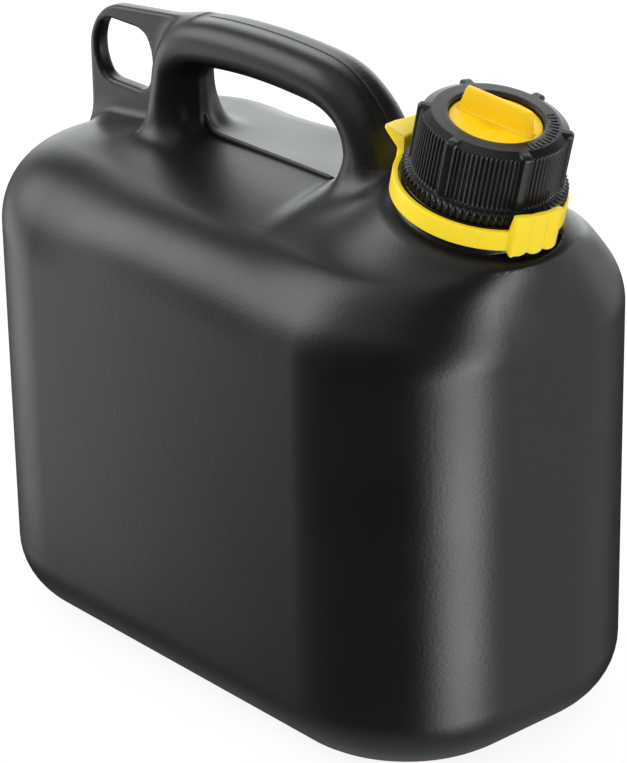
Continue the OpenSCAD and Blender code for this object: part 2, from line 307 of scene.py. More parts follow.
def moulded_plastic(name, colour, roughness, grain_scale, grain_height, mottle=0.12, ior=1.5):
    """Moulded plastic: an even colour with faint mottling, a varying sheen and a fine cast grain."""
    material, shader = new_material(name, colour, roughness)
    nodes, links = material.node_tree.nodes, material.node_tree.links
    shader.inputs["IOR"].default_value = ior
    place = nodes.new("ShaderNodeTexCoord")

    cloud = nodes.new("ShaderNodeTexNoise")
    cloud.inputs["Scale"].default_value = 22
    cloud.inputs["Detail"].default_value = 4
    links.new(place.outputs["Object"], cloud.inputs["Vector"])

    tint = nodes.new("ShaderNodeValToRGB")
    tint.color_ramp.elements[0].position = 0.3
    tint.color_ramp.elements[1].position = 0.7
    tint.color_ramp.elements[0].color = (*[c * (1 - mottle) for c in colour], 1)
    tint.color_ramp.elements[1].color = (*[min(1, c * (1 + mottle)) for c in colour], 1)
    links.new(cloud.outputs["Fac"], tint.inputs["Fac"])
    links.new(tint.outputs["Color"], shader.inputs["Base Color"])

    polish = nodes.new("ShaderNodeMapRange")
    polish.inputs["From Min"].default_value = 0.3
    polish.inputs["From Max"].default_value = 0.7
    polish.inputs["To Min"].default_value = roughness - 0.03
    polish.inputs["To Max"].default_value = roughness + 0.03
    links.new(cloud.outputs["Fac"], polish.inputs["Value"])
    links.new(polish.outputs["Result"], shader.inputs["Roughness"])

    grain = nodes.new("ShaderNodeTexNoise")
    grain.inputs["Scale"].default_value = grain_scale
    grain.inputs["Detail"].default_value = 3
    links.new(place.outputs["Object"], grain.inputs["Vector"])
    bump = nodes.new("ShaderNodeBump")
    bump.inputs["Strength"].default_value = 1
    bump.inputs["Distance"].default_value = grain_height * MM
    links.new(grain.outputs["Fac"], bump.inputs["Height"])
    links.new(bump.outputs["Normal"], shader.inputs["Normal"])
    return material


# ---------------------------------------------------------------- mesh helpers


def mesh_object(name, points_mm, faces, material, body, smooth=True, normals=None):
    """A mesh of points in millimetres that rides on a body of the frame."""
    mesh = bpy.data.meshes.new(name)
    points = np.asarray(points_mm, float) * MM
    faces = [list(map(int, f)) for f in faces]
    mesh.from_pydata(points.tolist(), [], faces)
    mesh.materials.append(material)
    mesh.polygons.foreach_set("use_smooth", [smooth] * len(mesh.polygons))
    mesh.validate()
    mesh.update()
    if normals is not None:
        mesh.normals_split_custom_set_from_vertices(np.asarray(normals, float).tolist())
    piece = bpy.data.objects.new(name, mesh)
    bpy.context.scene.collection.objects.link(piece)
    if body:
        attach(piece, body)
    return piece


def on_neck(radius, angle, height):
    """Points in the can's frame from a radius, an angle and a height on the neck's axis."""
    radius, angle, height = np.broadcast_arrays(radius, angle, height)
    out = CAP_TOP + height[..., None] * NECK_N + (radius * np.cos(angle))[..., None] * NECK_U
    out[..., 1] += radius * np.sin(angle)
    return out


def loop_faces(rows, columns, close_rows=True, close_columns=True):
    """Quads of a grid whose rows, columns or both close on themselves."""
    faces = []
    for j in range(rows if close_rows else rows - 1):
        for i in range(columns if close_columns else columns - 1):
            a, b = j * columns + i, j * columns + (i + 1) % columns
            up = ((j + 1) % rows) * columns
            faces.append((a, b, up + (i + 1) % columns, up + i))
    return faces


def turned(name, outline, columns, material, body, shape=None):
    """A solid turned round the neck's axis from a closed outline of (r, s) points.

    shape, where given, takes the angles, r, s and the row's number and returns that row's own r and s.
    """
    angles = np.arange(columns) * 2 * math.pi / columns
    rings = []
    for row, (r, s) in enumerate(outline):
        radii, heights = (r, s) if shape is None else shape(angles, r, s, row)
        rings.append(on_neck(radii, angles, heights))
    faces = loop_faces(len(outline), columns)
    return mesh_object(name, np.concatenate(rings), faces, material, body)


def rounded(points, radius, steps=3):
    """A closed outline with its corners rounded: radius is one number, or one for each point."""
    count = len(points)
    radii = [radius] * count if np.isscalar(radius) else radius
    out = []
    for i, r in enumerate(radii):
        here = np.array(points[i], float)
        before = np.array(points[i - 1], float) - here
        after = np.array(points[(i + 1) % count], float) - here
        reach = min(r, 0.45 * np.linalg.norm(before), 0.45 * np.linalg.norm(after))
        if reach <= 0:
            out.append(tuple(here))
            continue
        start = here + before / np.linalg.norm(before) * reach
        end = here + after / np.linalg.norm(after) * reach
        for k in range(steps + 1):
            t = k / steps
            out.append(tuple((1 - t) ** 2 * start + 2 * t * (1 - t) * here + t * t * end))
    return out


# ---------------------------------------------------------------- the moulding's distance field


def smooth_union(a, b, reach):
    """The nearer of two distances, with a fillet of about that reach where they meet."""
    h = np.maximum(reach - np.abs(a - b), 0) / reach
    return np.minimum(a, b) - h**3 * reach / 6


def smooth_max(a, b, reach):
    """The farther of two distances, with a round of about that reach where they meet."""
    return -smooth_union(-a, -b, reach)


def rounded_pair(a, b, r):
    """Distance to where two crossing slabs overlap, with their common edge rounded to r."""
    a, b = a + r, b + r
    return np.hypot(np.maximum(a, 0), np.maximum(b, 0)) + np.minimum(np.maximum(a, b), 0) - r


def smooth_step(value, low, high):
    """Rises smoothly from 0 at low to 1 at high."""
    t = np.clip((value - low) / (high - low), 0, 1)
    return t * t * (3 - 2 * t)


def plan_distance(x, y):
    """Distance outside the tank's upright wall, and the plan direction that the wall there faces."""
    qx = np.abs(x) - (HALF_LENGTH - CORNER_R)
    qy = np.abs(y) - (HALF_WIDTH - CORNER_R)
    outer = np.hypot(np.maximum(qx, 0), np.maximum(qy, 0))
    round_corner = outer > 1e-6
    to_side = np.where(round_corner, np.maximum(qy, 0) / np.maximum(outer, 1e-6), (qy > qx) * 1.0)
    to_end = np.where(round_corner, np.maximum(qx, 0) / np.maximum(outer, 1e-6), (qy <= qx) * 1.0)
    return outer + np.minimum(np.maximum(qx, qy), 0) - CORNER_R, to_end * np.sign(x), to_side * np.sign(y)


def rounded_edge(a, b, r, lean):
    """Where two surfaces meet in an outer edge rounded to r; lean is the cosine between their normals."""
    a, b = a + r, b + r
    corner = np.sqrt(np.maximum(a * a + b * b - 2 * a * b * lean, 0) / (1 - lean * lean))
    return np.where((a > b * lean) & (b > a * lean), corner, np.maximum(a, b)) - r


def pitched(p, z, r, pitch):
    """A roof that rises inwards at that pitch and is tangent to the round edge of the walls."""
    return (p + r) * np.sin(pitch) + (z - SHOULDER_Z + r) * np.cos(pitch) - r


def front_shoulder_distance(x, y, z, p, r):
    """The higher ground from the recess forwards: it falls away steadily to the long sides."""
    rise = smooth_step(x, SHOULDER_FROM_X, SHOULDER_TO_X)
    pitch = np.radians(SHOULDER_PITCH + SHOULDER_PITCH_GAIN * rise)
    side = pitched(p, z, r, pitch) + SHOULDER_SINK
    crest = SHOULDER_CREST + SHOULDER_CREST_GAIN * rise
    top = smooth_max(side, z - crest, SHOULDER_ROUND)
    return rounded_pair(top, RECESS_X - x, RECESS_EDGE_R)


def neck_coordinates(x, y, z):
    """Radius from the neck's axis and height s on it, for points in the can's frame."""
    dx = x - CAP_TOP[0]
    dz = z - CAP_TOP[2]
    s = dx * NECK_N[0] + dz * NECK_N[2]
    r = np.hypot(dx * NECK_U[0] + dz * NECK_U[2], y)
    return r, s


def pedestal_distance(x, y, z):
    """The cone that carries the neck, from under the lock ring down into the shoulders."""
    r, s = neck_coordinates(x, y, z)
    flank = (r - PEDESTAL_R) * math.cos(PEDESTAL_FLARE) - (PEDESTAL_TOP - s) * math.sin(PEDESTAL_FLARE)
    cone = rounded_pair(flank, s - PEDESTAL_TOP, PEDESTAL_RIM_R)
    foot = rounded_pair(r - FOOT_R, s - FOOT_SHOWN_BELOW, FOOT_RIM_R)
    return smooth_union(cone, foot, FOOT_FILLET)


def top_distance(x, y, z, p, r):
    """Everything that closes the walls above: pitched roof, front shoulder and pedestal."""
    roof = pitched(p, z, r, ROOF_PITCH)
    top = smooth_union(roof, front_shoulder_distance(x, y, z, p, r), RECESS_FILLET)
    return smooth_union(top, pedestal_distance(x, y, z), PEDESTAL_FILLET)


def block_distance(x, y, z):
    """The tank's body: upright walls, closed above by a wide rounded edge and the top."""
    p, to_end, to_side = plan_distance(x, y)
    behind = EDGE_SWELL * np.exp(-(((x - EDGE_SWELL_X) / EDGE_SWELL_REACH) ** 2))
    in_front = FRONT_EDGE_SWELL * smooth_step(x, FRONT_EDGE_FROM_X, FRONT_EDGE_TO_X)
    r = TOP_EDGE_R + (behind + in_front) * to_side**2
    top = top_distance(x, y, z, p, r)
    lean = top_distance(x + to_end, y + to_side, z, p + 1, r) - top
    return rounded_edge(p, top, r, np.clip(lean, 0, STEEPEST_LEAN))


def catmull(points, steps):
    """A smooth curve through points, with steps points to each stretch."""
    p = np.array([points[0], *points, points[-1]], float)
    out = []
    for i in range(1, len(p) - 2):
        for k in range(steps):
            t = k / steps
            out.append(0.5 * (2 * p[i] + (p[i + 1] - p[i - 1]) * t
                              + (2 * p[i - 1] - 5 * p[i] + 4 * p[i + 1] - p[i + 2]) * t**2
                              + (3 * p[i] - p[i - 1] - 3 * p[i + 1] + p[i + 2]) * t**3))
    out.append(p[-1])
    return np.array(out)


# The grip's centre line in the can's middle plane: x, z, half thickness, half width.
# The first four points were chosen. The other ten came out of a fit to the photo's outline by a
# separate program, and were changed by up to 1.1 mm afterwards.
GRIP_LINE = [
    (-67.5, 184, 15, 22), (-69, 193, 11.6, 18.5), (-70.4, 203, 9.6, 16), (-70.8, 213, 9, 14),
    (-69.0, 225, 8.9, 13), (-61.6, 233.3, 9.4, 13), (-47.8, 237.4, 9.4, 13), (-21.9, 239.5, 9.1, 13),
    (4.3, 239.3, 9.1, 13), (23.7, 237.0, 9, 13), (36.6, 229.6, 8.8, 13.2), (43.4, 218.6, 10, 14),
    (45.2, 206.3, 11.6, 17), (45.2, 193.7, 12.6, 23),
]
GRIP_SECTION_R = 9.2


def grip_distance(x, y, z):
    """The handle: a rounded section swept along the grip's line, which lies in the middle plane."""
    line = catmull(GRIP_LINE, 8)
    a, b = line[:-1], line[1:]
    plane_x, plane_z = np.broadcast_arrays(x[:, 0, :], z[:, 0, :])
    nearest = np.full(plane_x.shape, 1e9)
    thick = np.zeros(plane_x.shape)
    wide = np.zeros(plane_x.shape)
    for p, q in zip(a, b):
        step = q[:2] - p[:2]
        t = np.clip(((plane_x - p[0]) * step[0] + (plane_z - p[1]) * step[1]) / (step @ step), 0, 1)
        d = np.hypot(plane_x - p[0] - t * step[0], plane_z - p[1] - t * step[1])
        closer = d < nearest
        nearest = np.where(closer, d, nearest)
        thick = np.where(closer, p[2] + t * (q[2] - p[2]), thick)
        wide = np.where(closer, p[3] + t * (q[3] - p[3]), wide)
    return rounded_pair((nearest - thick)[:, None, :], np.abs(y) - wide[:, None, :], GRIP_SECTION_R)


EYE_MIDDLE = (-103.5, 219.4)
EYE_HOLE_R = 17.4
EYE_HOLE_HALF_HEIGHT = 12.7
EYE_HOLE_CORNER_R = 2.5
EYE_HALF_THICKNESS = 3.4
EYE_EDGE_R = 2.0
EYE_REAR_X = -125.9
EYE_FRONT_X = -58
EYE_TOP = (-106, 238.8)
EYE_TOP_SLOPE = math.atan2(5, 42)
EYE_CORNER_R = 19


def eye_distance(x, y, z):
    """The flat web behind the rear post and its hole, a circle cut by two flats."""
    top = (z - EYE_TOP[1]) * math.cos(EYE_TOP_SLOPE) - (x - EYE_TOP[0]) * math.sin(EYE_TOP_SLOPE)
    plate = rounded_pair(EYE_REAR_X - x, top, EYE_CORNER_R)
    plate = np.maximum(plate, x - EYE_FRONT_X)
    circle = np.hypot(x - EYE_MIDDLE[0], z - EYE_MIDDLE[1]) - EYE_HOLE_R
    hole = rounded_pair(circle, np.abs(z - EYE_MIDDLE[1]) - EYE_HOLE_HALF_HEIGHT, EYE_HOLE_CORNER_R)
    return rounded_pair(np.maximum(plate, -hole), np.abs(y) - EYE_HALF_THICKNESS, EYE_EDGE_R)


def well_distance(x, y, z):
    """The dark bore below the neck, which leads into the can."""
    r, s = neck_coordinates(x, y, z)
    return np.maximum(r - WELL_R, WELL_BOTTOM - s)


def moulding_distance(x, y, z):
    """The whole moulding above its walls, in millimetres, on a grid with x, y and z along its axes."""
    body = block_distance(x, y, z)
    upper = smooth_union(grip_distance(x, y, z), eye_distance(x, y, z), EYE_FILLET)
    return np.maximum(smooth_union(body, upper, HANDLE_FILLET), -well_distance(x, y, z))


# ---------------------------------------------------------------- the moulding's mesh

CELL = 1.25
CUT_Z = 150.0
GRID_TOP = 252
GRID_MARGIN = 2.5
GRID_FRONT_MARGIN = 4
WALL_ROWS = 14


def net_vertices(field, low, cell):
    """One vertex in each cell that the zero surface crosses, and the grid of their numbers."""
    count = np.array(field.shape) - 1
    inside = (field < 0).astype(np.int8)

    def corner(grid, offset):
        """The grid's values at one corner of every cell."""
        return grid[tuple(slice(o, o + n) for o, n in zip(offset, count))]

    offsets = [(i, j, k) for i in (0, 1) for j in (0, 1) for k in (0, 1)]
    filled = sum(corner(inside, o) for o in offsets)
    cells = np.argwhere((filled > 0) & (filled < 8))
    number = np.full(count, -1, np.int64)
    number[tuple(cells.T)] = np.arange(len(cells))
    total = np.zeros((len(cells), 3))
    hits = np.zeros(len(cells))
    for start in offsets:
        for axis in range(3):
            if start[axis]:
                continue
            end = tuple(o + (i == axis) for i, o in enumerate(start))
            a = field[tuple((cells + start).T)]
            b = field[tuple((cells + end).T)]
            crossed = (a < 0) != (b < 0)
            t = np.where(crossed, a / np.where(crossed, a - b, 1), 0)
            step = np.zeros(3)
            step[axis] = 1
            total += crossed[:, None] * (cells + start + t[:, None] * step)
            hits += crossed
    return low + cell * total / hits[:, None], number


def net_faces(field, number):
    """Quads round every grid edge that the zero surface crosses, facing outwards."""
    inside = field < 0
    faces = []
    for axis in range(3):
        others = [a for a in range(3) if a != axis]
        near = [slice(1, -1)] * 3
        near[axis] = slice(0, -1)
        far = list(near)
        far[axis] = slice(1, None)
        edges = np.argwhere(inside[tuple(near)] != inside[tuple(far)])
        edges[:, others] += 1
        leaving = inside[tuple(edges.T)]
        if axis == 1:
            leaving = ~leaving
        ring = []
        for back in ((1, 1), (0, 1), (0, 0), (1, 0)):
            cell = edges.copy()
            cell[:, others[0]] -= back[0]
            cell[:, others[1]] -= back[1]
            ring.append(number[tuple(cell.T)])
        quads = np.stack(ring, axis=1)
        quads[~leaving] = quads[~leaving][:, ::-1]
        faces.append(quads)
    return np.concatenate(faces)


def at_points(distance, points):
    """A distance evaluated at a list of points."""
    x, y, z = (points[:, i].reshape(-1, 1, 1) for i in range(3))
    return distance(x, y, z).reshape(-1)


def slope(distance, points, reach=0.25):
    """Outward unit normals of a distance field, and the steepness there."""
    out = np.zeros_like(points)
    for axis in range(3):
        step = np.zeros(3)
        step[axis] = reach
        out[:, axis] = at_points(distance, points + step) - at_points(distance, points - step)
    out /= 2 * reach
    steep = np.maximum(np.linalg.norm(out, axis=1), 1e-6)
    return out / steep[:, None], steep


def settle(distance, points, rounds=2):
    """Points moved along the slope on to the zero surface."""
    for _ in range(rounds):
        normal, steep = slope(distance, points)
        move = np.clip(at_points(distance, points) / steep, -CELL, CELL)
        points = points - move[:, None] * normal
    return points


def even_out(points, faces, held):
    """Points drawn towards the middle of their neighbours, apart from the held ones."""
    edges = np.concatenate([faces[:, [i, (i + 1) % 4]] for i in range(4)])
    edges = np.concatenate([edges, edges[:, ::-1]])
    total = np.zeros_like(points)
    count = np.zeros(len(points))
    np.add.at(total, edges[:, 0], points[edges[:, 1]])
    np.add.at(count, edges[:, 0], 1)
    moved = 0.5 * points + 0.5 * total / np.maximum(count, 1)[:, None]
    moved[held] = points[held]
    return moved


def boundary_loop(faces):
    """The numbers of the open edge's vertices, in order."""
    edges = np.concatenate([faces[:, [i, (i + 1) % 4]] for i in range(4)])
    keys = np.sort(edges, axis=1)
    _, first, count = np.unique(keys, axis=0, return_index=True, return_counts=True)
    following = {int(a): int(b) for a, b in edges[first[count == 1]]}
    start = min(following)
    loop = [start]
    while following[loop[-1]] != start:
        loop.append(following[loop[-1]])
    return np.array(loop)


def lower_rows(loop):
    """Rows of points from the cut down the walls, round the base's edge and in to the recessed base."""
    _, to_end, to_side = plan_distance(loop[:, 0], loop[:, 1])
    normal = np.stack([to_end, to_side, np.zeros(len(loop))], axis=1)
    rows = []
    for z in np.linspace(CUT_Z, BASE_EDGE_R, WALL_ROWS)[1:]:
        rows.append((0, z, normal))
    turns = 14
    down = np.array([0, 0, -1.0])
    for k in range(1, turns + 1):
        a = k / turns * math.pi / 2
        tilted = math.cos(a) * normal + math.sin(a) * down
        rows.append((BASE_EDGE_R * (1 - math.cos(a)), BASE_EDGE_R * (1 - math.sin(a)), tilted))
    for inset, z in ((30, 0), (32, 0.15), (33.5, 0.7), (35, 1.25), (37, 1.4), (52, 1.4)):
        lean = 0.7 if inset == 33.5 else 0
        rows.append((inset, z, (down - lean * normal) / math.hypot(1, lean)))
    points, normals = [], []
    for inset, z, facing in rows:
        row = loop - inset * normal
        row[:, 2] = z
        points.append(row)
        normals.append(facing)
    return points, normals


def make_moulding(material):
    """Tank, carry handle and hanging eye in one closed mesh."""
    low = np.array([TANK_LOW[0] - GRID_MARGIN, TANK_LOW[1] - GRID_MARGIN, CUT_Z])
    high = np.array([TANK_HIGH[0] + GRID_FRONT_MARGIN, TANK_HIGH[1] + GRID_MARGIN, GRID_TOP])
    counts = np.ceil((high - low) / CELL).astype(int) + 1
    x, y, z = (low[i] + CELL * np.arange(counts[i]) for i in range(3))
    field = moulding_distance(x[:, None, None], y[None, :, None], z[None, None, :])
    field = np.where(np.abs(field) < 1e-7, 1e-7, field)
    points, number = net_vertices(field, low, CELL)
    faces = net_faces(field, number)
    used = np.unique(faces)
    renumber = np.full(len(points), -1)
    renumber[used] = np.arange(len(used))
    points, faces = points[used], renumber[faces]

    loop = boundary_loop(faces)
    held = np.zeros(len(points), bool)
    held[loop] = True
    points[loop, 2] = CUT_Z
    for _ in range(3):
        points = settle(moulding_distance, even_out(points, faces, held), 1)
        points[loop, 2] = CUT_Z
    points = settle(moulding_distance, points, 2)
    points[loop, 2] = CUT_Z
    normals, _ = slope(moulding_distance, points)

    rows, row_normals = lower_rows(points[loop])
    ring = len(loop)
    first = len(points)
    ids = [loop] + [first + k * ring + np.arange(ring) for k in range(len(rows))]
    wall = []
    for upper, lower in zip(ids[:-1], ids[1:]):
        wall.append(np.stack([np.roll(upper, -1), upper, lower, np.roll(lower, -1)], axis=1))
    all_points = np.concatenate([points] + rows)
    middle = len(all_points)
    all_points = np.vstack([all_points, [0, 0, rows[-1][0, 2]]])
    all_normals = np.concatenate([normals] + row_normals + [np.array([[0, 0, -1.0]])])
    fan = [(b, a, middle) for a, b in zip(ids[-1], np.roll(ids[-1], -1))]
    quads = np.concatenate([faces] + wall).tolist() + fan
    tank = mesh_object("tank_moulding", all_points, quads, material, "tank", normals=all_normals)
    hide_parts("tank_shell", "carry_handle", "hanging_eye")
    return tank


def height_over(x, y, from_z, to_z):
    """Height of the moulding's surface above points of the plan, found between two heights."""
    x, y = np.asarray(x, float), np.asarray(y, float)
    low, high = np.full(x.shape, float(from_z)), np.full(x.shape, float(to_z))
    for _ in range(24):
        middle = (low + high) / 2
        inside = at_points(moulding_distance, np.stack([x, y, middle], axis=1)) < 0
        low, high = np.where(inside, middle, low), np.where(inside, high, middle)
    return low


def rib(name, path, half_width, height, material, sink=0.6):
    """A low ridge along a path of (x, z) points in the middle plane, tapered at both ends."""
    path = np.array(path, float)
    along = np.gradient(path, axis=0)
    along /= np.linalg.norm(along, axis=1)[:, None]
    out = np.stack([-along[:, 1], along[:, 0]], axis=1)
    travelled = np.concatenate([[0], np.cumsum(np.linalg.norm(np.diff(path, axis=0), axis=1))])
    fade = np.clip(np.minimum(travelled, travelled[-1] - travelled) / (2.5 * height) + 0.05, 0, 1) ** 0.5
    section = [(-1, -sink), (1, -sink), (1, 0.35 * height), (0.7, 0.82 * height), (0.3, height),
               (-0.3, height), (-0.7, 0.82 * height), (-1, 0.35 * height)]
    points = []
    for p, n, f in zip(path, out, fade):
        for across, up in section:
            lift = up * (f if up > 0 else 1)
            points.append((p[0] + n[0] * lift, across * half_width, p[1] + n[1] * lift))
    side = len(section)
    faces = loop_faces(len(path), side, close_rows=False)
    faces += [tuple(range(side - 1, -1, -1)), tuple(range(len(points) - side, len(points)))]
    strip = mesh_object(name, points, faces, material, "tank")
    return strip


def make_seams(material):
    """The pinch-off ridge left under the handle and the parting line over it."""
    xs = np.linspace(-60, 18, 60)
    roof = height_over(xs, np.zeros_like(xs), 190, 204)
    rib("pinch_ridge", np.stack([xs, roof], axis=1), half_width=0.8, height=1.4, material=material)
    line = catmull(GRIP_LINE[5:], 6)
    step = np.gradient(line[:, :2], axis=0)
    step /= np.linalg.norm(step, axis=1)[:, None]
    top = line[:, :2] + np.stack([-step[:, 1], step[:, 0]], axis=1) * line[:, 2:3]
    rib("grip_parting_line", top[:-6], half_width=0.45, height=0.3, material=material, sink=0.8)


# ---------------------------------------------------------------- neck, cap, disc and lock ring

NECK_BORE_R = 16.5
NECK_R = 19.2
CAP_INNER_R = 21.1
THREAD_DEPTH = 1.5
CAP_RIM_R = 17.4
CAP_FACE_R = 23.3
RIB_ROOT_R = 26.2
RIB_PITCHES = 96
LOBE_R = 28.2
LOBE_HALF_WIDTH = 2.2
LOBE_TURN = math.radians(41)
TOOTH_COUNT = 72
TOOTH_DEPTH = 1.4
RIB_DEPTH = 0.7


def thread(angle, s, start, turns):
    """How far a thread stands out, from 0 to 1, at an angle and a height."""
    turn = angle / (2 * math.pi)
    lap = np.round((s - start) / THREAD_PITCH - turn)
    off = np.abs(s - start - (turn + lap) * THREAD_PITCH)
    rise = np.clip((1.5 - off) / 0.6, 0, 1)
    done = turn + lap
    fade = np.clip(done / 0.06, 0, 1) * np.clip((turns - done) / 0.06, 0, 1)
    return rise * fade


def make_neck(material):
    """The threaded filler neck and the grooved foot that holds the lock ring."""
    rim = [(NECK_BORE_R, -35.5), (NECK_BORE_R, -8), (NECK_BORE_R + 0.4, -7.2), (NECK_BORE_R + 1, -7),
           (NECK_R - 1, -7), (NECK_R - 0.3, -7.3), (NECK_R, -8)]
    threaded = [(NECK_R, s) for s in np.arange(-8.4, -27.2, -0.5)]
    foot = [(NECK_R + 0.2, -27.25), (NECK_R + 1, -27.4), (28.9, -27.4), (FOOT_R, -27.9),
            (FOOT_R, -30.2), (27, -30.2), (27, -32.4), (FOOT_R, -32.4), (FOOT_R, -36.5), (28, -36.5)]
    first = len(rim)
    last = first + len(threaded)

    def shape(angles, r, s, row):
        """The thread, on its own rows."""
        if first <= row < last:
            return r + THREAD_DEPTH * thread(angles, s, -22.5, 2), s
        return r, s

    neck = turned("threaded_neck", rim + threaded + foot, 192, material, "tank", shape)
    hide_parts("filler_neck")


def cap_outside(angles, r, s):
    """Moves a row of the cap's side out to its ribs and its six lobes."""
    pitch = math.radians(360 / RIB_PITCHES)
    phase = (angles - LOBE_TURN) / pitch - 0.5
    off = np.abs(phase - np.round(phase))
    crown = np.sqrt(np.clip(1 - (off / 0.4) ** 2, 0, 1))
    sixth = math.pi / 3
    turn = (angles - LOBE_TURN + sixth / 2) % sixth - sixth / 2
    side = np.abs(LOBE_R * np.sin(turn)) / LOBE_HALF_WIDTH
    plain = side < 1.15
    ribs = RIB_DEPTH * crown * np.sqrt(np.clip((-1.5 - s) / 0.8, 0, 1))
    skirt = np.where(plain, r, r + ribs)
    share = np.clip(1 - side**4, 0, 1) ** 0.25
    along = np.clip((r - CAP_FACE_R) / (RIB_ROOT_R - CAP_FACE_R), 0, 1)
    lobe_r = np.where(along < 1, CAP_FACE_R + (LOBE_R - CAP_FACE_R) * along**0.8, LOBE_R)
    lobe_s = s if s < -3 else -0.1 - 1.3 * along**6 - max(-1.5 - s, 0) * 1.07
    return skirt + (np.maximum(lobe_r, skirt) - skirt) * share, s + (max(lobe_s, s) - s) * share


def make_cap(material):
    """The screw cap: top, ribbed and lobed side, toothed flange and threaded inside."""
    top = [(CAP_RIM_R, -3), (CAP_RIM_R, -0.35), (CAP_RIM_R + 0.15, -0.05), (CAP_RIM_R + 0.45, 0.12),
           (CAP_RIM_R + 1, 0.18), (CAP_RIM_R + 2.2, 0.12), (21.5, 0.02), (22.9, 0)]
    shoulder = [(CAP_FACE_R, -0.03), (23.6, -0.16), (23.9, -0.32), (24.4, -0.6), (24.9, -0.85),
                (25.4, -1.1), (25.8, -1.3), (RIB_ROOT_R, -1.5)]
    sides = [-1.65, -1.8, -2, -2.3, -2.7, -3.2] + [-3.2 - 1.1 * k for k in range(1, 17)] + [-21.5]
    skirt = [(RIB_ROOT_R + 0.3 * (-1.5 - s) / 20, s) for s in sides]
    flange = [(27.6, -22.0), (28.4, -22.2), (29.0, -22.4), (29.5, -22.7), (29.8, -23.1), (29.8, -24.4),
              (29.8, -26.2), (29.5, -26.8), (28.9, -27)]
    under = [(25.4, -27), (24.6, -26.8), (24.2, -26.2), (23.6, -23.6), (22.4, -22.2), (CAP_INNER_R, -21.4)]
    inner = [(CAP_INNER_R, s) for s in np.arange(-21.0, -8.4, 0.5)]
    ceiling = [(CAP_INNER_R, -8), (CAP_INNER_R, -4), (CAP_INNER_R - 0.5, -3.2), (CAP_INNER_R - 1.2, -3)]
    outline = top + shoulder + skirt + flange + under + inner + ceiling
    side_at = len(top)
    flange_at = side_at + len(shoulder) + len(skirt)
    under_at = flange_at + len(flange)
    inner_at = under_at + len(under)

    def shape(angles, r, s, row):
        """Ribs and lobes on the side, teeth on the flange and a thread inside."""
        if side_at <= row < flange_at:
            return cap_outside(angles, r, s)
        if flange_at <= row < under_at:
            saw = (angles * TOOTH_COUNT / (2 * math.pi)) % 1
            tooth = np.where(saw < 0.8, saw / 0.8, (1 - saw) / 0.2) - 0.5
            share = np.clip((-22.1 - s) / 0.9, 0, 1) if s > -26.5 else 0.7
            return np.maximum(r + TOOTH_DEPTH * tooth * share, 27.2), s
        if inner_at <= row < inner_at + len(inner):
            return r - (THREAD_DEPTH - 0.1) * thread(angles, s, -19.5, 1.5), s
        return r, s

    cap = turned("screw_cap_moulding", outline, 576, material, "cap", shape)
    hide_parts("screw_cap")
    return cap


TICK_COUNT = 14
TICK_START = -9  # degrees
TICK_STEP = 5.9
TICK_HALF_WIDTH = 0.34
BOX_SIDES = ((3, 2, 1, 0), (4, 5, 6, 7), (0, 1, 5, 4), (1, 2, 6, 5), (2, 3, 7, 6), (3, 0, 4, 7))


def make_tick_marks(material):
    """Small raised marks along part of the cap's top face."""
    points, faces = [], []
    half = TICK_HALF_WIDTH
    for k in range(TICK_COUNT):
        middle = math.radians(TICK_START + TICK_STEP * k)
        inner = 18.8 + 0.5 * (k % 3)
        outer = 22.5 - 0.4 * (k % 2)
        first = len(points)
        for height in (-0.2, 0.3):
            for r, across in ((inner, -half), (outer, -half), (outer, half), (inner, half)):
                points.append(on_neck(math.hypot(r, across), middle + math.atan2(across, r), height))
        faces += [tuple(first + i for i in side) for side in BOX_SIDES]
    marks = mesh_object("cap_tick_marks", np.array(points), faces, material, "cap", smooth=False)


def swept_arc(name, angles, section, material, body, node=None):
    """A solid swept round the neck's axis: section gives the outline of (r, s) points at an angle."""
    points = []
    for angle in angles:
        outline = np.array(section(angle))
        points.append(on_neck(outline[:, 0], angle, outline[:, 1]))
    side = len(points[0])
    faces = loop_faces(len(angles), side, close_rows=False)
    count = side * len(angles)
    faces = [f[::-1] for f in faces]
    faces += [tuple(range(side)), tuple(range(count - 1, count - side - 1, -1))]
    piece = mesh_object(name, np.concatenate(points), faces, material, None)
    if node:
        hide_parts(node)
    return piece


RING_INNER_R = 30.9
RING_OUTER_R = 33.0
BAND_TOP = -27.3
BAND_FOOT = -34.8
TONGUE_R = 29.0
CLEAR_OF_TEETH_R = 32.4
PAD_FROM = math.radians(-26)
PAD_TO = math.radians(10)
TAB_HALF = 14.3
# Beyond the pad the ring is drawn in under the teeth by this much, as the photo shows no yellow there
BAND_TUCK = 1.9


def mix(a, b, t):
    """From a at 0 to b at 1."""
    return a + (b - a) * t


def band_section(share, outer_r, outer_foot, outer_top, inner_top_r, tucked=0.0):
    """Outline of the ring: a plain band at share 0, with a wall standing on it at share 1.

    tucked is how far the outside is drawn in; the inside follows it by three quarters.
    """
    foot = mix(BAND_FOOT, outer_foot, share)
    top = mix(BAND_TOP, outer_top, share)
    out = mix(RING_OUTER_R, outer_r, share) - tucked
    inner_r = RING_INNER_R - 0.75 * tucked
    inner = mix(inner_r + 0.5, inner_top_r, share)
    points = [
        (inner_r, -32), (TONGUE_R, -32), (TONGUE_R, -30.6), (inner_r, -30.6),
        (inner_r, BAND_TOP), (inner, BAND_TOP), (inner + 0.05, mix(BAND_TOP + 0.02, outer_top, share)),
        (out, top), (out, mix(top, foot, 0.35)), (out, mix(top, foot, 0.7)), (out, foot),
        (mix(RING_OUTER_R, CLEAR_OF_TEETH_R, share) - 0.6 - tucked, foot), (inner_r + 0.2, BAND_FOOT),
        (inner_r, BAND_FOOT + 0.2),
    ]
    corners = [0.1, 0.2, 0.2, 0.1, 0.2, 0.05, 0.35, 0.7, 0, 0, 0.7, 0.3, 0.1, 0.1]
    return rounded(points, corners, 3)


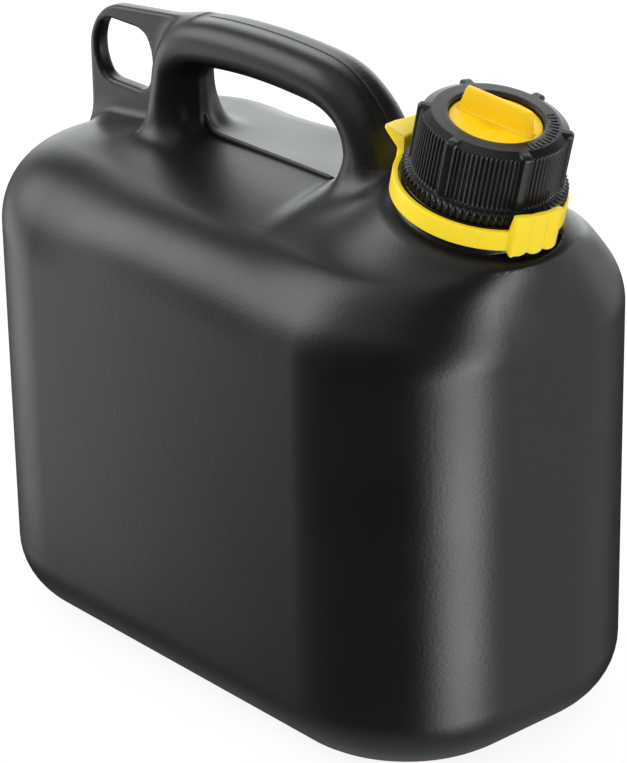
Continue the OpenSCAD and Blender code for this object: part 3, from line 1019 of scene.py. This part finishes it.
def front_section(angle):
    """The front stretch with its fluted pad."""
    edge = math.radians(1.4)
    share = smooth_step(angle, PAD_FROM - edge / 2, PAD_FROM + edge / 2)
    share *= 1 - smooth_step(angle, PAD_TO - edge / 2, PAD_TO + edge / 2)
    step = (PAD_TO - PAD_FROM) / 3
    phase = (angle - PAD_FROM) / step
    flute = abs((phase % 1) - 0.5) * 2
    swell = 0.75 * (1 - flute**2.2)
    foot = -35.4 - 0.8 * (1 - flute**2)
    near_left = math.exp(-(((angle - PAD_FROM - math.radians(1.5)) / math.radians(1.6)) ** 2))
    outer_r = 34.35 + swell + 0.35 * near_left
    top = -20.3 + 0.25 * (1 - flute**2)
    tucked = BAND_TUCK * smooth_step(angle, PAD_TO, math.radians(18))
    return band_section(share, outer_r, foot - 0.8 * near_left, top, CLEAR_OF_TEETH_R, tucked)


def rear_section(angle):
    """The rear stretch with its flared thumb tab."""
    off = angle - math.pi
    half = math.asin(TAB_HALF / 36)
    edge = math.radians(1.3)
    share = 1 - smooth_step(abs(off), half - edge / 2, half + edge / 2)
    lift = 2.2 * min((off / half) ** 2, 1)

    def at_tab(plain, flared):
        """A size of the plain band, or the tab's where the tab stands."""
        return mix(plain, flared, share)

    foot = at_tab(BAND_FOOT, -35)
    lip_r = min(40 / math.cos(min(abs(off), half)), 40.8)
    waist = at_tab(RING_OUTER_R, 34.6)
    points = [
        (RING_INNER_R, -32), (TONGUE_R, -32), (TONGUE_R, -30.6), (RING_INNER_R, -30.6),
        (RING_INNER_R, BAND_TOP),
        (at_tab(RING_INNER_R + 0.5, CLEAR_OF_TEETH_R), BAND_TOP),
        (at_tab(RING_INNER_R + 0.55, CLEAR_OF_TEETH_R + 0.1), at_tab(BAND_TOP + 0.02, -22.3 + 0.5 * lift)),
        (at_tab(RING_OUTER_R - 0.5, lip_r), at_tab(BAND_TOP + 0.02, -20.9 + lift)),
        (at_tab(RING_OUTER_R, lip_r), at_tab(BAND_TOP, -22.9 + lift)),
        (at_tab(RING_OUTER_R, 36.4), at_tab(BAND_TOP - 0.5, -24.2 + 0.7 * lift)),
        (waist, at_tab(mix(BAND_TOP, BAND_FOOT, 0.3), -26.8)),
        (waist, mix(BAND_FOOT, foot, 0.5) + 3),
        (waist, foot),
        (at_tab(RING_OUTER_R, 32.6) - 0.6, foot),
        (RING_INNER_R + 0.3, BAND_FOOT),
        (RING_INNER_R, BAND_FOOT + 0.3),
    ]
    corners = [0.1, 0.2, 0.2, 0.1, 0.2, 0.05, 0.9, 0.5, 0.7, 2.0, 1.2, 0, 0.6, 0.3, 0.1, 0.1]
    return rounded(points, corners, 3)


def plain_section(angle):
    """The near stretch, a plain band all along."""
    return band_section(0, RING_OUTER_R, BAND_FOOT, BAND_TOP, RING_INNER_R)


def far_section(angle):
    """The far stretch with the pawl's post beside the teeth."""
    off = abs(angle - math.pi / 2)
    share = 1 - smooth_step(off, math.radians(7.4), math.radians(8.6))
    tucked = BAND_TUCK * (1 - smooth_step(angle, math.radians(50), math.radians(78)))
    return band_section(share, RING_OUTER_R, BAND_FOOT, -22.5, 31.75, tucked)


def pawl_section(angle):
    """The small block inside the far stretch that meets the teeth."""
    return rounded([(30.85, -26.4), (32.4, -26.4), (32.4, -22.6), (30.85, -22.9)], 0.25, 2)


def make_lock_ring(material):
    """Four stretches of one springy ring, swept round the neck, and the pawl on the far stretch."""
    stretches = [
        ("lock_ring_front", 0, front_section, "lock_front", "lock_front_pad"),
        ("lock_ring_far", 90, far_section, "lock_far", "lock_far_arc"),
        ("lock_ring_rear", 180, rear_section, "lock_rear", "lock_rear_tab"),
        ("lock_ring_near", 270, plain_section, "lock_near", "lock_near_arc"),
    ]
    for name, middle, section, body, node in stretches:
        degrees = np.linspace(middle - 45, middle + 45, 161)
        if middle == 270:
            degrees -= 360
        piece = swept_arc(name, np.radians(degrees), section, material, body, node)
        direction = on_neck(1.0, math.radians(middle), 0.0) - CAP_TOP
        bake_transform(piece)
        if node == "lock_far_arc":
            angles = np.radians(np.linspace(88, 92, 9))
            pawl = swept_arc("lock_pawl", angles, pawl_section, material, body)
            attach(pawl, body)


DISC_TOP = -1.6
FIN_TURN = math.radians(18)
FIN_POWER = 0.32
# The fin from its root up: half length, half thickness, height
FIN_PROFILE = [
    (15.6, 2.9, -1.7), (15.0, 2.3, -1.4), (14.7, 2.0, -0.8), (14.5, 1.88, 0.6), (14.2, 1.72, 2.3),
    (13.9, 1.5, 4.2), (13.55, 1.25, 6.0), (13.3, 1.05, 7.0), (13.0, 0.85, 7.35), (12.5, 0.45, 7.5),
]


def make_disc(material):
    """The loose disc that closes the neck, with its finger fin."""
    outline = [
        (0.01, DISC_TOP), (9, DISC_TOP), (16.5, DISC_TOP), (16.9, DISC_TOP - 0.1), (17.1, DISC_TOP - 0.35),
        (17.1, -3.15), (20.5, -3.2), (20.7, -3.4), (20.7, -4.6), (20.5, -4.8), (15.2, -4.8),
        (15.1, -9.2), (14.8, -9.5), (13.7, -9.5), (13.4, -9.2), (13.4, -4.2), (13, -3.8), (0.01, -3.8),
    ]
    disc = turned("closure_disc_plate", outline, 128, material, "disc")
    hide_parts("closure_disc")

    rows = []
    sides = 48
    turn = np.arange(sides) * 2 * math.pi / sides
    for half_length, half_thick, height in FIN_PROFILE:
        along = half_length * np.sign(np.cos(turn)) * np.abs(np.cos(turn)) ** FIN_POWER
        across = half_thick * np.sign(np.sin(turn)) * np.abs(np.sin(turn)) ** FIN_POWER
        x = along * math.cos(FIN_TURN) - across * math.sin(FIN_TURN)
        y = along * math.sin(FIN_TURN) + across * math.cos(FIN_TURN)
        rows.append(on_neck(np.hypot(x, y), np.arctan2(y, x), height))
    faces = loop_faces(len(rows), sides, close_rows=False)
    count = sides * len(rows)
    faces += [tuple(range(sides - 1, -1, -1)), tuple(range(count - sides, count))]
    fin = mesh_object("closure_fin", np.concatenate(rows), faces, material, "disc")


def finish_gasket(material):
    """Gives the CAD gasket its rubber."""
    slots = frame["nodes"]["gasket"].data.materials
    slots.clear()
    slots.append(material)


# ---------------------------------------------------------------- the scene


def main():
    """Camera, studio and floor, then the can from its moulding up to the lock ring."""
    make_camera()
    make_studio()
    make_floor()
    body = moulded_plastic("charcoal_polyethylene", (0.0058, 0.006, 0.006), 0.38, 700, 0.06)
    cap = moulded_plastic("black_cap_plastic", (0.006, 0.006, 0.0075), 0.4, 1400, 0.02)
    disc = moulded_plastic("warm_yellow_plastic", (1.0, 0.63, 0.002), 0.42, 1200, 0.015, mottle=0.03)
    ring = moulded_plastic("lemon_yellow_plastic", (1.0, 0.74, 0.01), 0.42, 1200, 0.015, mottle=0.03)
    rubber = moulded_plastic("seal_rubber", (0.02, 0.02, 0.02), 0.7, 1800, 0.03)
    make_moulding(body)
    make_seams(body)
    make_neck(body)
    make_cap(cap)
    make_tick_marks(cap)
    make_disc(disc)
    finish_gasket(rubber)
    make_lock_ring(ring)


main()
